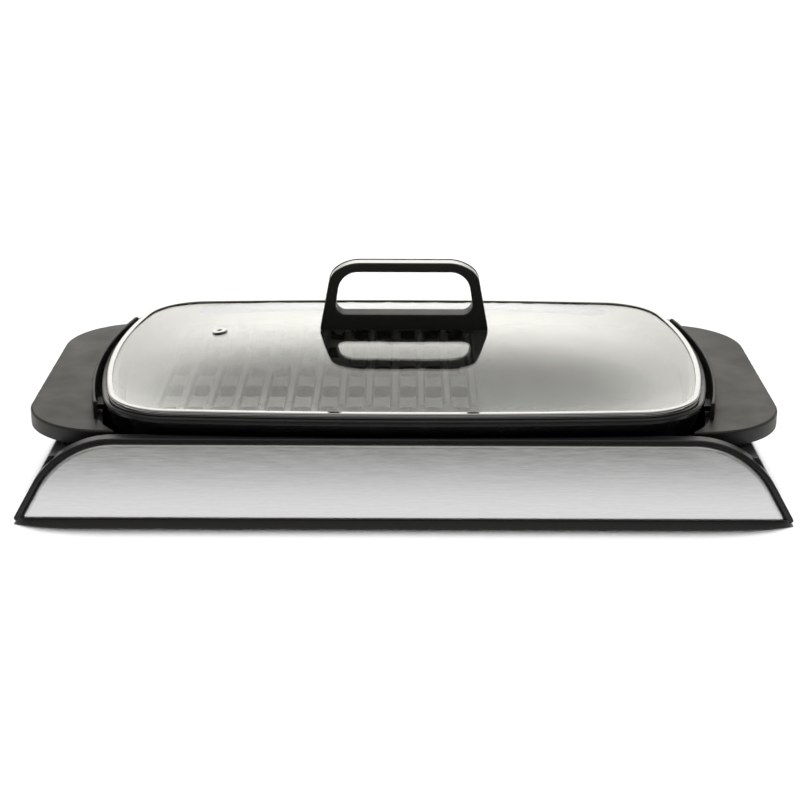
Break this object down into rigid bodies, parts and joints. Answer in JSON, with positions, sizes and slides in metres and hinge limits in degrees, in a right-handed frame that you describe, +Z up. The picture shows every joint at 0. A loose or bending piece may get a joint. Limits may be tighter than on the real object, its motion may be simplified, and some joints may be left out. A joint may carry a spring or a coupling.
{
  "type": "electric table grill",
  "caption": "Table-top electric grill: long ribbed and flat cooking plate with end handles, in a black base with a brushed steel front, under a lift-off domed glass lid.",
  "frame": {"origin": "on the table, under the middle of the grill's outer box", "axes": "+X along the grill to the viewer's right, -Y to the front panel, +Z up"},
  "size_m": [0.574, 0.32, 0.1567],
  "materials": {
    "base_plastic": "moulded black, satin",
    "handle_plastic": "fine-grained black",
    "loop_plastic": "semi-gloss black",
    "panel_steel": "brushed along its length",
    "rim_steel": "polished",
    "bright_inlay": "satin silver",
    "nonstick": "black non-stick coating",
    "tray_steel": "mill finish",
    "element_steel": "dark oxide",
    "zinc_steel": "zinc plated",
    "brass": "plain",
    "ceramic": "unglazed ceramic",
    "rubber": "matt",
    "silicone": "matt",
    "glass": "clear, polished"
  },
  "bodies": {
    "base": {"base_housing": "base_plastic", "front_panel": "panel_steel", "rubber_feet": "rubber", "foot_screws": "zinc_steel"},
    "tray": {"drip_tray": "tray_steel", "tray_grip": "base_plastic", "tray_rivets": "zinc_steel"},
    "plate": {"grill_plate": "nonstick", "heating_element": "element_steel", "terminal_insulators": "ceramic", "terminal_pins": "zinc_steel", "earth_pin": "brass", "probe_sleeve": "element_steel", "inlet_shroud": "zinc_steel", "inlet_screws": "zinc_steel", "left_handle": "handle_plastic", "right_handle": "handle_plastic", "handle_screws": "zinc_steel"},
    "lid": {"lid_glass": "glass", "lid_rim": "rim_steel", "vent_grommet": "rim_steel", "lid_handle": "loop_plastic", "handle_inlay": "bright_inlay", "handle_gasket": "silicone", "lid_washers": "zinc_steel", "lid_screws": "zinc_steel"}
  },
  "joints": [
    {"name": "tray_slide", "type": "slide", "parent": "base", "child": "tray", "axis": [0, 1, 0], "range_m": [0, 0.25]},
    {"name": "plate_lift", "type": "slide", "parent": "base", "child": "plate", "axis": [0, 0, 1], "range_m": [0, 0.12]},
    {"name": "lid_lift", "type": "slide", "parent": "plate", "child": "lid", "axis": [0, 0, 1], "range_m": [0, 0.15]}
  ]
}
